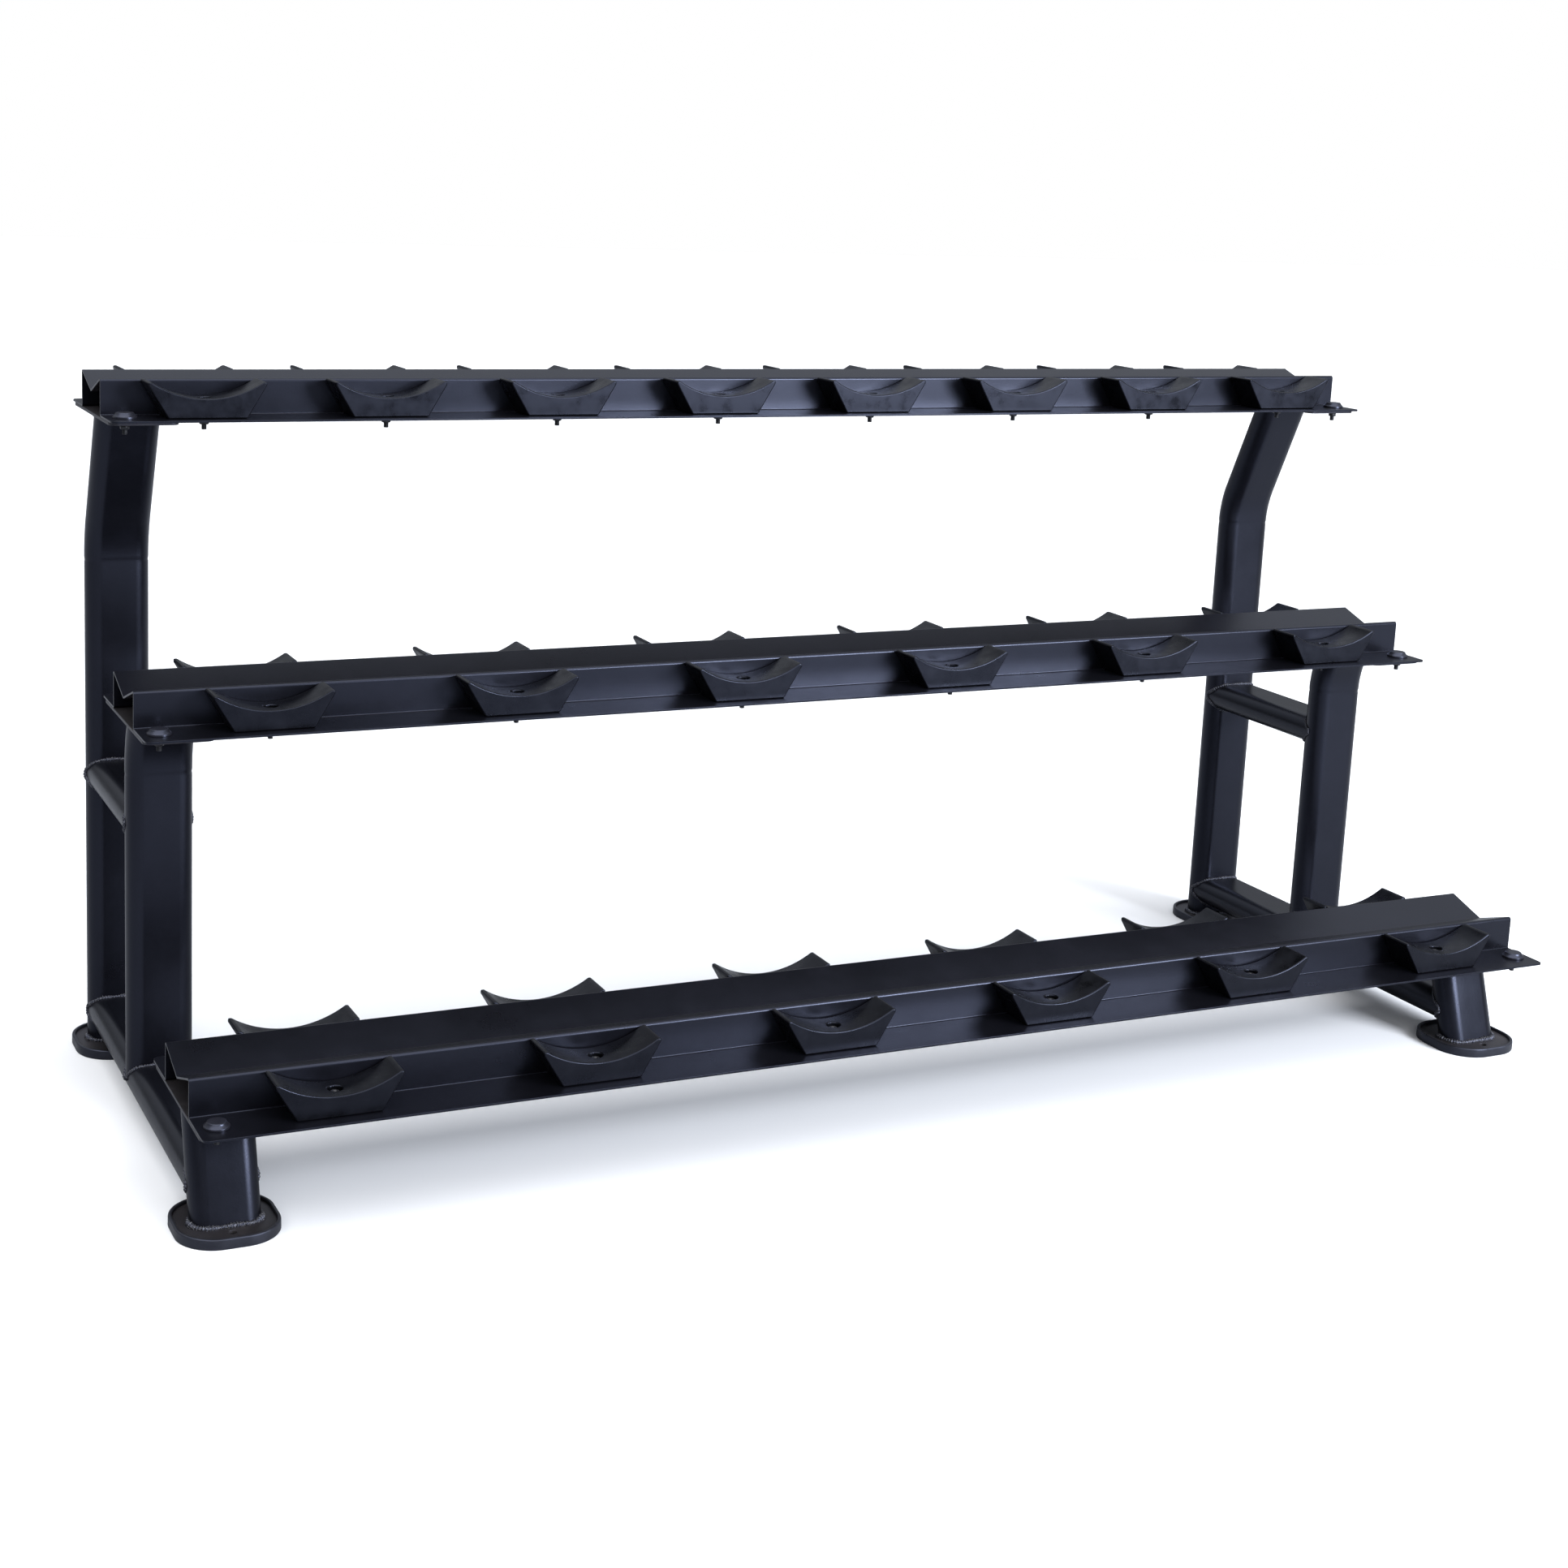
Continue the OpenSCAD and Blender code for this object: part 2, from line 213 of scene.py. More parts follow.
class Nodes:
    """Short names for building one material's node tree."""

    def __init__(self, name):
        self.material = bpy.data.materials.new(name)
        self.material.use_nodes = True
        self.tree = self.material.node_tree
        self.shader = self.tree.nodes["Principled BSDF"]
        place = self.tree.nodes.new("ShaderNodeNewGeometry")
        self.position = place.outputs["Position"]

    def add(self, kind, **values):
        node = self.tree.nodes.new(kind)
        for key, value in values.items():
            if hasattr(node, key):
                setattr(node, key, value)
            else:
                node.inputs[key.replace("_", " ")].default_value = value
        return node

    def link(self, out, into):
        self.tree.links.new(out, into)

    def noise(self, scale, detail, roughness, stretch=None):
        node = self.add("ShaderNodeTexNoise", Scale=scale, Detail=detail, Roughness=roughness)
        where = self.position
        if stretch:
            mapping = self.add("ShaderNodeMapping")
            mapping.inputs["Scale"].default_value = stretch
            self.link(where, mapping.inputs["Vector"])
            where = mapping.outputs["Vector"]
        self.link(where, node.inputs["Vector"])
        return node.outputs["Fac"]

    def ramp(self, value, low, high, out_low, out_high):
        node = self.add("ShaderNodeMapRange")
        node.inputs["From Min"].default_value = low
        node.inputs["From Max"].default_value = high
        node.inputs["To Min"].default_value = out_low
        node.inputs["To Max"].default_value = out_high
        self.link(value, node.inputs["Value"])
        return node.outputs["Result"]

    def blend(self, factor, low, high):
        node = self.add("ShaderNodeMix", data_type="RGBA")
        self.link(factor, node.inputs["Factor"])
        for socket, value in zip(("A", "B"), (low, high)):
            into = [s for s in node.inputs if s.name == socket and s.type == "RGBA"][0]
            if isinstance(value, tuple):
                into.default_value = (*value, 1)
            else:
                self.link(value, into)
        return [s for s in node.outputs if s.type == "RGBA"][0]

    def total(self, a, b):
        node = self.add("ShaderNodeMath", operation="ADD")
        self.link(a, node.inputs[0])
        self.link(b, node.inputs[1])
        return node.outputs[0]

    def bump(self, height, strength, distance, under=None):
        node = self.add("ShaderNodeBump", Strength=strength, Distance=distance)
        self.link(height, node.inputs["Height"])
        if under is not None:
            self.link(under, node.inputs["Normal"])
        return node.outputs["Normal"]

    def finish(self, color, roughness, normal, specular, tint, metallic=0.0):
        shader = self.shader
        self.link(color, shader.inputs["Base Color"])
        self.link(roughness, shader.inputs["Roughness"])
        self.link(normal, shader.inputs["Normal"])
        shader.inputs["Specular IOR Level"].default_value = specular
        shader.inputs["Specular Tint"].default_value = (*tint, 1)
        shader.inputs["Metallic"].default_value = metallic
        return self.material


COOL = (0.66, 0.72, 1.0)  # tint of the paint's and rubber's reflections


def coat_material(name, low, high, rough, specular, smudge):
    """Fine-textured powder coat with a little dust and handling grease."""
    n = Nodes(name)
    patches = n.noise(5.0, 5.0, 0.6)
    dust = n.noise(23.0, 6.0, 0.65)
    color = n.blend(n.ramp(patches, 0.3, 0.75, 0, 1), low, high)
    color = n.blend(n.ramp(dust, 0.52, 0.85, 0, smudge), color, tuple(2.6 * c for c in high))
    grain = n.noise(1500.0, 2.0, 0.5)
    orange_peel = n.noise(300.0, 3.0, 0.6)
    worn = n.ramp(patches, 0.3, 0.75, rough - 0.015, rough + 0.03)
    roughness = n.total(worn, n.ramp(dust, 0.4, 0.8, -0.01, 0.03))
    normal = n.bump(orange_peel, 0.5, 0.14 * MM)
    normal = n.bump(grain, 0.5, 0.05 * MM, normal)
    return n.finish(color, roughness, normal, specular, COOL)


def rubber_material(name, low, high, rough, specular, scuff):
    """Moulded rubber: matte, with pale rubbed patches and a fine spark-eroded grain."""
    n = Nodes(name)
    cloudy = n.noise(30.0, 6.0, 0.6)
    rubbed = n.noise(75.0, 4.0, 0.7, stretch=(0.6, 1.0, 1.8))
    grain = n.noise(2200.0, 2.0, 0.5)
    color = n.blend(n.ramp(cloudy, 0.35, 0.7, 0, 1), low, high)
    color = n.blend(n.ramp(rubbed, 0.55, 0.8, 0, scuff), color, tuple(2.4 * c for c in high))
    roughness = n.ramp(cloudy, 0.32, 0.7, rough - 0.12, rough + 0.12)
    normal = n.bump(n.noise(60.0, 2.0, 0.5), 0.2, 0.3 * MM)
    normal = n.bump(grain, 0.4, 0.05 * MM, normal)
    return n.finish(color, roughness, normal, specular, COOL)


def zinc_material():
    """Dark zinc of the nuts, washers and screws, with fine turning marks."""
    n = Nodes("dark_zinc")
    stain = n.noise(180.0, 5.0, 0.6)
    fine = n.noise(2600.0, 2.0, 0.5, stretch=(1, 1, 6))
    color = n.blend(n.ramp(stain, 0.3, 0.75, 0, 1), (0.010, 0.010, 0.012), (0.040, 0.040, 0.045))
    roughness = n.ramp(stain, 0.3, 0.8, 0.32, 0.55)
    normal = n.bump(fine, 0.3, 0.03 * MM)
    return n.finish(color, roughness, normal, 0.5, (1, 1, 1), metallic=0.5)


def weld_material():
    """Powder coat over a weld, with pale specks painted into its colour as the glints of its
    ripples (painted highlight); glossier on these specks.
    """
    n = Nodes("weld_coat")
    painted_glints = n.noise(650.0, 3.0, 0.6)
    # the pale specks in the base colour are a painted highlight: the glints of the weld's ripples
    color = n.blend(n.ramp(painted_glints, 0.5, 0.72, 0, 1), (0.010, 0.010, 0.012), (0.20, 0.195, 0.20))
    roughness = n.ramp(painted_glints, 0.3, 0.8, 0.42, 0.25)
    normal = n.bump(n.noise(700.0, 3.0, 0.6), 0.8, 0.6 * MM)
    return n.finish(color, roughness, normal, 0.55, COOL)


COAT = coat_material(
    "powder_coat", (0.0018, 0.0018, 0.0025), (0.0034, 0.0034, 0.0050), 0.29, 0.38, 0.15,
)
PLATE = coat_material(
    "coated_plate", (0.012, 0.0105, 0.0105), (0.026, 0.023, 0.0225), 0.42, 0.45, 0.6,
)
RUBBER = rubber_material(
    "saddle_rubber", (0.0010, 0.0010, 0.0012), (0.0024, 0.0024, 0.0029), 0.33, 0.26, 0.4,
)
PAD_RUBBER = rubber_material(
    "pad_rubber", (0.009, 0.009, 0.0105), (0.017, 0.017, 0.020), 0.38, 0.5, 0.3,
)
CAP = coat_material(
    "bolt_cap", (0.008, 0.008, 0.0105), (0.013, 0.013, 0.017), 0.30, 0.5, 0.2,
)
ZINC = zinc_material()
WELD = weld_material()


# ---------- Outlines ----------


def circle(r, steps, x=0.0, y=0.0):
    """Points round a circle, counter-clockwise from its +X side."""
    angles = [math.tau * i / steps for i in range(steps)]
    return [(x + r * math.cos(a), y + r * math.sin(a)) for a in angles]


def oval_outline(inset):
    """Flat-oval section, wide side along X, counter-clockwise, with its flats split in three."""
    half, r = (TUBE_W - TUBE_D) / 2, TUBE_D / 2 - inset
    steps, parts = 14, 3
    points = []
    for side, start in ((1, -math.pi / 2), (-1, math.pi / 2)):
        for i in range(steps + 1):
            a = start + math.pi * i / steps
            points.append((side * half + r * math.cos(a), r * math.sin(a)))
    out = []
    for i, p in enumerate(points):
        q = points[(i + 1) % len(points)]
        out.append(p)
        if math.dist(p, q) > half:
            for k in range(1, parts):
                out.append((p[0] + (q[0] - p[0]) * k / parts, p[1] + (q[1] - p[1]) * k / parts))
    return out


def oval_half_depth(x):
    """Half the section's narrow side at x."""
    r = TUBE_D / 2
    over = max(0.0, abs(x) - (TUBE_W - TUBE_D) / 2)
    return math.sqrt(max(0.0, r * r - over * over))


def round_outline(w, l, r, steps=10):
    """Rectangle with round corners, counter-clockwise."""
    points = []
    for sx, sy, start in ((1, 1, 0), (-1, 1, 90), (-1, -1, 180), (1, -1, 270)):
        for i in range(steps + 1):
            a = math.radians(start + 90 * i / steps)
            points.append((sx * (w / 2 - r) + r * math.cos(a), sy * (l / 2 - r) + r * math.sin(a)))
    return points


def loft(rings, close_ends=False):
    """Vertices and faces of a skin through closed rings of equal length."""
    verts = [p for ring in rings for p in ring]
    n = len(rings[0])
    faces = []
    for i in range(len(rings) - 1):
        for j in range(n):
            k = (j + 1) % n
            faces.append((i * n + j, i * n + k, (i + 1) * n + k, (i + 1) * n + j))
    if close_ends:
        faces.append(tuple(range(n)))
        faces.append(tuple((len(rings) - 1) * n + j for j in range(n)))
    return verts, faces


# ---------- Shelves ----------


def folded_path(points, r, shift, steps=6):
    """One face of the folded sheet: the path moved sideways by shift, with round bends."""
    out = []
    vectors = [Vector(p) for p in points]
    for i, p in enumerate(vectors):
        a = (vectors[1] - p if i == 0 else p - vectors[i - 1]).normalized()
        b = a if i == len(vectors) - 1 else (vectors[i + 1] - p).normalized()
        left = Vector((-a.y, a.x))
        turn = a.x * b.y - a.y * b.x
        if abs(turn) < 1e-9:
            out.append(p + shift * left)
            continue
        turn = math.copysign(1, turn)
        angle = a.angle(b)
        centre = p + turn * r * (left + Vector((-b.y, b.x))) / (1 + a.dot(b))
        start = math.atan2(-turn * left.y, -turn * left.x)
        for k in range(steps + 1):
            t = start + turn * angle * k / steps
            out.append(centre + (r - turn * shift) * Vector((math.cos(t), math.sin(t))))
    return out


def shelf_mesh(name, length, depth, wall_h):
    """Folded sheet with round flange corners, centred on X and Y, underside of the flange at 0."""
    low = SHEET / 2
    gap = depth / 2 - FLANGE_W
    corner = depth / 2 - FLANGE_CORNER_R
    edge = [depth / 2 - FLANGE_CORNER_R * (1 - math.cos(math.radians(a))) for a in (60, 45, 30, 15)]
    edge = [corner, *edge, depth / 2]
    path = [(-y, low) for y in reversed(edge)]
    path += [(-gap, low), (-gap, wall_h - low), (0, VALLEY_H), (gap, wall_h - low), (gap, low)]
    path += [(y, low) for y in edge]
    outline = folded_path(path, SHEET, low) + list(reversed(folded_path(path, SHEET, -low)))

    def reach(y):
        """Half the sheet's length at y."""
        over = max(0.0, abs(y) - corner)
        cut = FLANGE_CORNER_R - math.sqrt(max(0.0, FLANGE_CORNER_R ** 2 - over ** 2))
        return length / 2 - cut

    stations = [-1, -0.97, -0.75, -0.5, -0.25, 0, 0.25, 0.5, 0.75, 0.97, 1]
    rings = [[(s * reach(p.x), p.x, p.y) for p in outline] for s in stations]
    verts, faces = loft(rings)
    n, half = len(outline), len(outline) // 2
    for end in (0, len(stations) - 1):
        for j in range(half - 1):
            faces.append((end * n + j, end * n + j + 1, end * n + n - 2 - j, end * n + n - 1 - j))
    return mesh_from(name, verts, faces)


def build_shelves():
    for tier in TIERS:
        lo, hi, mid = box_of(f"{tier}_shelf")
        mesh = shelf_mesh(f"{tier}_shelf_sheet", hi.x - lo.x, hi.y - lo.y, hi.z - lo.z)
        mesh.transform(Matrix.Translation((mid.x, mid.y, lo.z)))
        piece = add_piece(f"{tier}_folded_shelf", mesh, COAT, [f"{tier}_shelf"])
        soften(piece, SHEET_EDGE, angle=50)


# ---------- Side frames ----------


def tube_piece(name, rings_out, rings_in, node):
    """Hollow tube from its outer and inner rings, which run the same way."""
    verts_out, faces_out = loft(rings_out)
    verts_in, faces_in = loft(rings_in)
    shift, n, last = len(verts_out), len(rings_out[0]), len(rings_out) - 1
    faces = faces_out + [tuple(reversed([i + shift for i in f])) for f in faces_in]
    for ring in (0, last):
        for j in range(n):
            k = (j + 1) % n
            faces.append((ring * n + j, ring * n + k, shift + ring * n + k, shift + ring * n + j))
    mesh = mesh_from(name, verts_out + verts_in, faces)
    piece = add_piece(name, mesh, COAT, [node])
    normals = piece.modifiers.new("normals", "WEIGHTED_NORMAL")
    normals.weight = 60


def bend_start(axis_y, end_y, end_z):
    """Height at which a bend starts so that the tube's top comes to (end_y, end_z)."""
    rise = BEND_R * math.sin(BEND_ANGLE)
    shift = BEND_R * (1 - math.cos(BEND_ANGLE))
    return end_z - rise - (axis_y - shift - end_y) / math.tan(BEND_ANGLE)


def bent_rings(x, axis_y, z0, bend_z, top_z, inset):
    """Rings of an upright: straight, bent forward, straight, cut level at the top.

    The bend starts with a small crease and then stands slightly proud, as a pressed bend does.
    """
    outline = oval_outline(inset)
    rings = []
    for z in (z0, z0 + 0.25 * (bend_z - z0), z0 + 0.6 * (bend_z - z0), bend_z - CREASE_L):
        rings.append([(x + u, axis_y + v, z) for u, v in outline])
    steps = 14
    for i in range(steps + 1):
        a = BEND_ANGLE * i / steps
        swell = BEND_SWELL * min(1, steps - i) if i else -CREASE
        grown = 1 + swell / TUBE_D
        ring = []
        for u, v in outline:
            r = BEND_R + v * grown
            wide = x + u * (1 + swell / TUBE_W)
            ring.append((wide, axis_y - BEND_R + r * math.cos(a), bend_z + r * math.sin(a)))
        rings.append(ring)
    lean = Vector((0, -math.sin(BEND_ANGLE), math.cos(BEND_ANGLE)))
    last = [Vector(p) for p in rings[-1]]
    rings.append([tuple(p + lean * ((top_z - p.z) / lean.z)) for p in last])
    return rings


def post_rings(top, z0, inset):
    """Rings of the leaning post, cut level at both ends; top is its axis at the top end."""
    lean = Vector((0, math.sin(POST_LEAN), math.cos(POST_LEAN)))
    across = Vector((0, math.cos(POST_LEAN), -math.sin(POST_LEAN)))
    rings = []
    for z in (z0, z0 + (top.z - z0) / 2, top.z):
        ring = []
        for u, v in oval_outline(inset):
            p = top + across * v + Vector((u, 0, 0))
            ring.append(tuple(p + lean * ((z - p.z) / lean.z)))
        rings.append(ring)
    return rings


def level_rings(x, y0, y1, z, inset):
    """Rings of a tube laid flat from y0 to y1."""
    outline = oval_outline(inset)
    return [[(x + u, y0 + (y1 - y0) * k / 3, z + v) for u, v in outline] for k in range(4)]


def side_layout(side):
    """Places of one side frame's tubes, worked out from the CAD nodes."""
    rear_lo, rear_hi, rear_mid = box_of(f"{side}_rear_upright")
    mid_hi = box_of(f"{side}_middle_upright")[1]
    post_lo, post_hi, _ = box_of(f"{side}_front_post")
    rail_mid = box_of(f"{side}_base_rail")[2]
    brace_mid = box_of(f"{side}_upper_brace")[2]
    shelf_y = {tier: box_of(f"{tier}_shelf")[2].y for tier in TIERS}
    rear_y = rear_hi.y - TUBE_D / 2 - SWELL
    mid_y = mid_hi.y - TUBE_D / 2 - SWELL
    return {
        "x": rear_mid.x,
        "floor": rear_lo.z,
        "rear_y": rear_y,
        "rear_top": rear_hi.z,
        "rear_bend": bend_start(rear_y, shelf_y["top"], rear_hi.z),
        "mid_y": mid_y,
        "mid_top": mid_hi.z,
        "mid_bend": bend_start(mid_y, shelf_y["middle"] - MIDDLE_TOP_SHIFT, mid_hi.z),
        "rail_z": rail_mid.z,
        "brace_z": brace_mid.z,
        "post_top": Vector((rear_mid.x, shelf_y["lower"], post_hi.z)),
        "post_foot": post_lo.z,
    }


def post_rear_y(at, x, z):
    """Y of the leaning post's rear surface."""
    axis = at["post_top"].y - (at["post_top"].z - z) * math.tan(POST_LEAN)
    return axis + oval_half_depth(x) / math.cos(POST_LEAN)


def build_tubes(side, at):
    x = at["x"]

    def both(maker, *args):
        """Rings of a tube's outside and of its bore."""
        return maker(*args, 0.0), maker(*args, TUBE_WALL)

    tube_piece(
        f"{side}_rear_tube",
        *both(bent_rings, x, at["rear_y"], at["floor"], at["rear_bend"], at["rear_top"]),
        f"{side}_rear_upright",
    )
    tube_piece(
        f"{side}_middle_tube",
        *both(bent_rings, x, at["mid_y"], at["rail_z"], at["mid_bend"], at["mid_top"]),
        f"{side}_middle_upright",
    )
    tube_piece(
        f"{side}_front_tube",
        *both(post_rings, at["post_top"], at["post_foot"]),
        f"{side}_front_post",
    )
    front = post_rear_y(at, 0, at["rail_z"]) - TUBE_D / 2
    tube_piece(
        f"{side}_base_tube",
        *both(level_rings, x, front, at["rear_y"], at["rail_z"]),
        f"{side}_base_rail",
    )
    tube_piece(
        f"{side}_brace_tube",
        *both(level_rings, x, at["mid_y"], at["rear_y"], at["brace_z"]),
        f"{side}_upper_brace",
    )


# ---------- Welds ----------


def resampled(points, step):
    """Evenly spaced points along a closed path."""
    pts = [Vector(p) for p in points]
    pts.append(pts[0])
    lengths = [0.0]
    for a, b in zip(pts, pts[1:]):
        lengths.append(lengths[-1] + (b - a).length)
    count = max(4, round(lengths[-1] / step))
    out, k = [], 0
    for i in range(count):
        d = lengths[-1] * i / count
        while k < len(pts) - 2 and lengths[k + 1] < d:
            k += 1
        t = (d - lengths[k]) / max(1e-9, lengths[k + 1] - lengths[k])
        out.append(pts[k].lerp(pts[k + 1], t))
    return out


def weld_bead(name, path, radius):
    """Weld bead along a path: a soft tube, uneven, with the ripples of the weld pool."""
    step = BEAD_RIPPLE / 4
    pts = resampled(path, step)
    n, around = len(pts), 8
    wander, rings = rng.uniform(0, 10), []
    for i, p in enumerate(pts):
        along = (pts[(i + 1) % n] - pts[i - 1]).normalized()
        side = along.orthogonal().normalized()
        up = along.cross(side)
        swing = 1 + 0.2 * math.sin(wander + i * 0.21) + 0.14 * math.sin(wander * 2 + i * 0.083)
        pool = abs(math.sin(math.pi * i * step / BEAD_RIPPLE))
        r = radius * swing * (0.72 + 0.4 * pool) * rng.uniform(0.88, 1.12)
        angles = [math.tau * j / around for j in range(around)]
        rings.append([tuple(p + (side * math.cos(a) + up * math.sin(a)) * r) for a in angles])
    rings.append(rings[0])
    return mesh_from(name, *loft(rings))


def build_welds(side, at):
    x, outline = at["x"], oval_outline(-BEAD_LIFT)
    foot_z = at["floor"] + FLOOR_BEAD_Z
    post_foot_y = at["post_top"].y - (at["post_top"].z - at["floor"]) * math.tan(POST_LEAN)
    post_stretch = math.cos(POST_LEAN)

    def across(level, face):
        """Path where a level tube meets the surface that face gives at (u, height)."""
        return [(x + u, face(u, level + v), level + v) for u, v in outline]

    def rear_face(u, _):
        return at["rear_y"] - oval_half_depth(u) - BEAD_LIFT

    def middle_face(u, _):
        return at["mid_y"] + oval_half_depth(u) + BEAD_LIFT

    def post_face(u, z):
        return post_rear_y(at, u, z) + BEAD_LIFT

    beads = (
        ("rear_foot_weld", [(x + u, at["rear_y"] + v, foot_z) for u, v in outline], FLOOR_BEAD),
        (
            "front_foot_weld",
            [(x + u, post_foot_y + v / post_stretch, foot_z) for u, v in outline],
            FLOOR_BEAD,
        ),
        (
            "middle_foot_weld",
            [
                (x + u, at["mid_y"] + v, at["rail_z"] + oval_half_depth(u) + BEAD_LIFT)
                for u, v in outline
            ],
            RAIL_BEAD,
        ),
        ("rail_rear_weld", across(at["rail_z"], rear_face), RAIL_BEAD),
        ("brace_rear_weld", across(at["brace_z"], rear_face), RAIL_BEAD),
        ("brace_middle_weld", across(at["brace_z"], middle_face), RAIL_BEAD),
        ("rail_front_weld", across(at["rail_z"], post_face), RAIL_BEAD),
    )
    for name, path, radius in beads:
        mesh = weld_bead(f"{side}_{name}_mesh", path, radius)
        add_piece(f"{side}_{name}", mesh, WELD)


# ---------- Plates and feet ----------


def plate_mesh(name, outline, thickness, holes=()):
    """Flat plate with round holes, its underside at 0. Holes are (x, y, radius)."""
    plate = bmesh.new()
    edges = []
    loops = [outline, *(circle(r, HOLE_STEPS, hx, hy) for hx, hy, r in holes)]
    for loop in loops:
        verts = [plate.verts.new((u, v, 0)) for u, v in loop]
        edges += [plate.edges.new(pair) for pair in zip(verts, verts[1:] + verts[:1])]
    flat = bmesh.ops.triangle_fill(plate, use_beauty=True, use_dissolve=False, edges=edges)
    faces = [g for g in flat["geom"] if isinstance(g, bmesh.types.BMFace)]
    raised = bmesh.ops.extrude_face_region(plate, geom=faces)
    top = [g for g in raised["geom"] if isinstance(g, bmesh.types.BMVert)]
    bmesh.ops.translate(plate, verts=top, vec=(0, 0, thickness))
    flat_angle = math.radians(1)
    bmesh.ops.dissolve_limit(plate, angle_limit=flat_angle, verts=plate.verts, edges=plate.edges)
    bmesh.ops.recalc_face_normals(plate, faces=plate.faces)
    mesh = bpy.data.meshes.new(name)
    plate.to_mesh(mesh)
    plate.free()
    mesh.shade_smooth()
    return mesh


def build_plates():
    for side in SIDES:
        for tier in TIERS:
            node = f"{side}_{tier}_shelf_plate"
            lo, hi, mid = box_of(node)
            outline = round_outline(hi.x - lo.x, hi.y - lo.y, PLATE_R)
            mesh = plate_mesh(node + "_mesh", outline, hi.z - lo.z)
            mesh.transform(Matrix.Translation((mid.x, mid.y, lo.z)))
            name = f"{side}_{tier}_mounting_plate"
            soften(add_piece(name, mesh, PLATE, [node]), 0.6 * MM)


def pad_mesh(name, w, l, h, hole_y):
    """Rubber foot: round-cornered dish with a raised rim and an anchor hole.

    Each level is (inset from the outline, height), in millimetres.
    """
    top, rim = h / MM, PAD_RIM / MM
    outside = [(1.6, 0.0), (0.5, 0.3), (0.0, 1.2), (0.0, 7.0), (0.15, top - 2.2), (0.6, top - 0.9)]
    crest = [(1.6, top - 0.2), (2.6, top), (4.2, top), (5.0, top - 0.3), (5.4, top - 1.0)]
    levels = outside + crest + [(rim, top - 2.0), (rim, PAD_FLOOR / MM)]
    rings = []
    for inset, z in levels:
        d = inset * MM
        outline = round_outline(w - 2 * d, l - 2 * d, PAD_R - d, 14)
        rings.append([(u, v, z * MM) for u, v in outline])
    verts, faces = loft(rings)
    pad = bmesh.new()
    made = [pad.verts.new(v) for v in verts]
    for f in faces:
        pad.faces.new([made[i] for i in f])
    n = len(rings[0])
    hole = circle(ANCHOR_R, HOLE_STEPS, 0.0, hole_y)
    circles = []
    for ring, z in ((0, 0.0), (len(rings) - 1, PAD_FLOOR)):
        outer = made[ring * n : ring * n + n]
        inner = [pad.verts.new((u, v, z)) for u, v in hole]
        edges = [pad.edges.get((outer[i], outer[(i + 1) % n])) for i in range(n)]
        edges += [pad.edges.new(pair) for pair in zip(inner, inner[1:] + inner[:1])]
        bmesh.ops.triangle_fill(pad, use_beauty=True, use_dissolve=False, edges=edges)
        circles.append(inner)
    for i in range(HOLE_STEPS):
        k = (i + 1) % HOLE_STEPS
        pad.faces.new((circles[0][i], circles[0][k], circles[1][k], circles[1][i]))
    bmesh.ops.recalc_face_normals(pad, faces=pad.faces)
    mesh = bpy.data.meshes.new(name)
    pad.to_mesh(mesh)
    pad.free()
    mesh.shade_smooth()
    return mesh


def build_feet():
    for side in SIDES:
        for end, hole in (("front", -ANCHOR_OFFSET), ("rear", ANCHOR_OFFSET)):
            foot = f"{side}_{end}"
            lo, hi, mid = box_of(f"{foot}_foot_pad")
            mesh = pad_mesh(f"{foot}_pad_mesh", hi.x - lo.x, hi.y - lo.y, hi.z - lo.z, hole)
            mesh.transform(Matrix.Translation((mid.x, mid.y, lo.z)))
            nodes = [f"{foot}_foot_pad"]
            pad = add_piece(f"{foot}_rubber_foot", mesh, PAD_RUBBER, nodes)
            normals = pad.modifiers.new("normals", "WEIGHTED_NORMAL")
            normals.weight = 60
            lo, hi, mid = box_of(f"{foot}_foot_plate")
            outline = round_outline(hi.x - lo.x, hi.y - lo.y, PAD_R - PAD_RIM, 14)
            mesh = plate_mesh(f"{foot}_base_mesh", outline, hi.z - lo.z, [(0, hole, ANCHOR_R)])
            mesh.transform(Matrix.Translation((mid.x, mid.y, lo.z)))
            nodes = [f"{foot}_foot_plate"]
            soften(add_piece(f"{foot}_base_plate", mesh, PLATE, nodes), 0.7 * MM)


# ---------- Saddles ----------


def evaluated(piece, name):
    """A plain copy of a piece's mesh with its modifiers applied."""
    bpy.context.view_layer.update()
    graph = bpy.context.evaluated_depsgraph_get()
    mesh = bpy.data.meshes.new_from_object(piece.evaluated_get(graph), depsgraph=graph)
    mesh.name = name
    return mesh


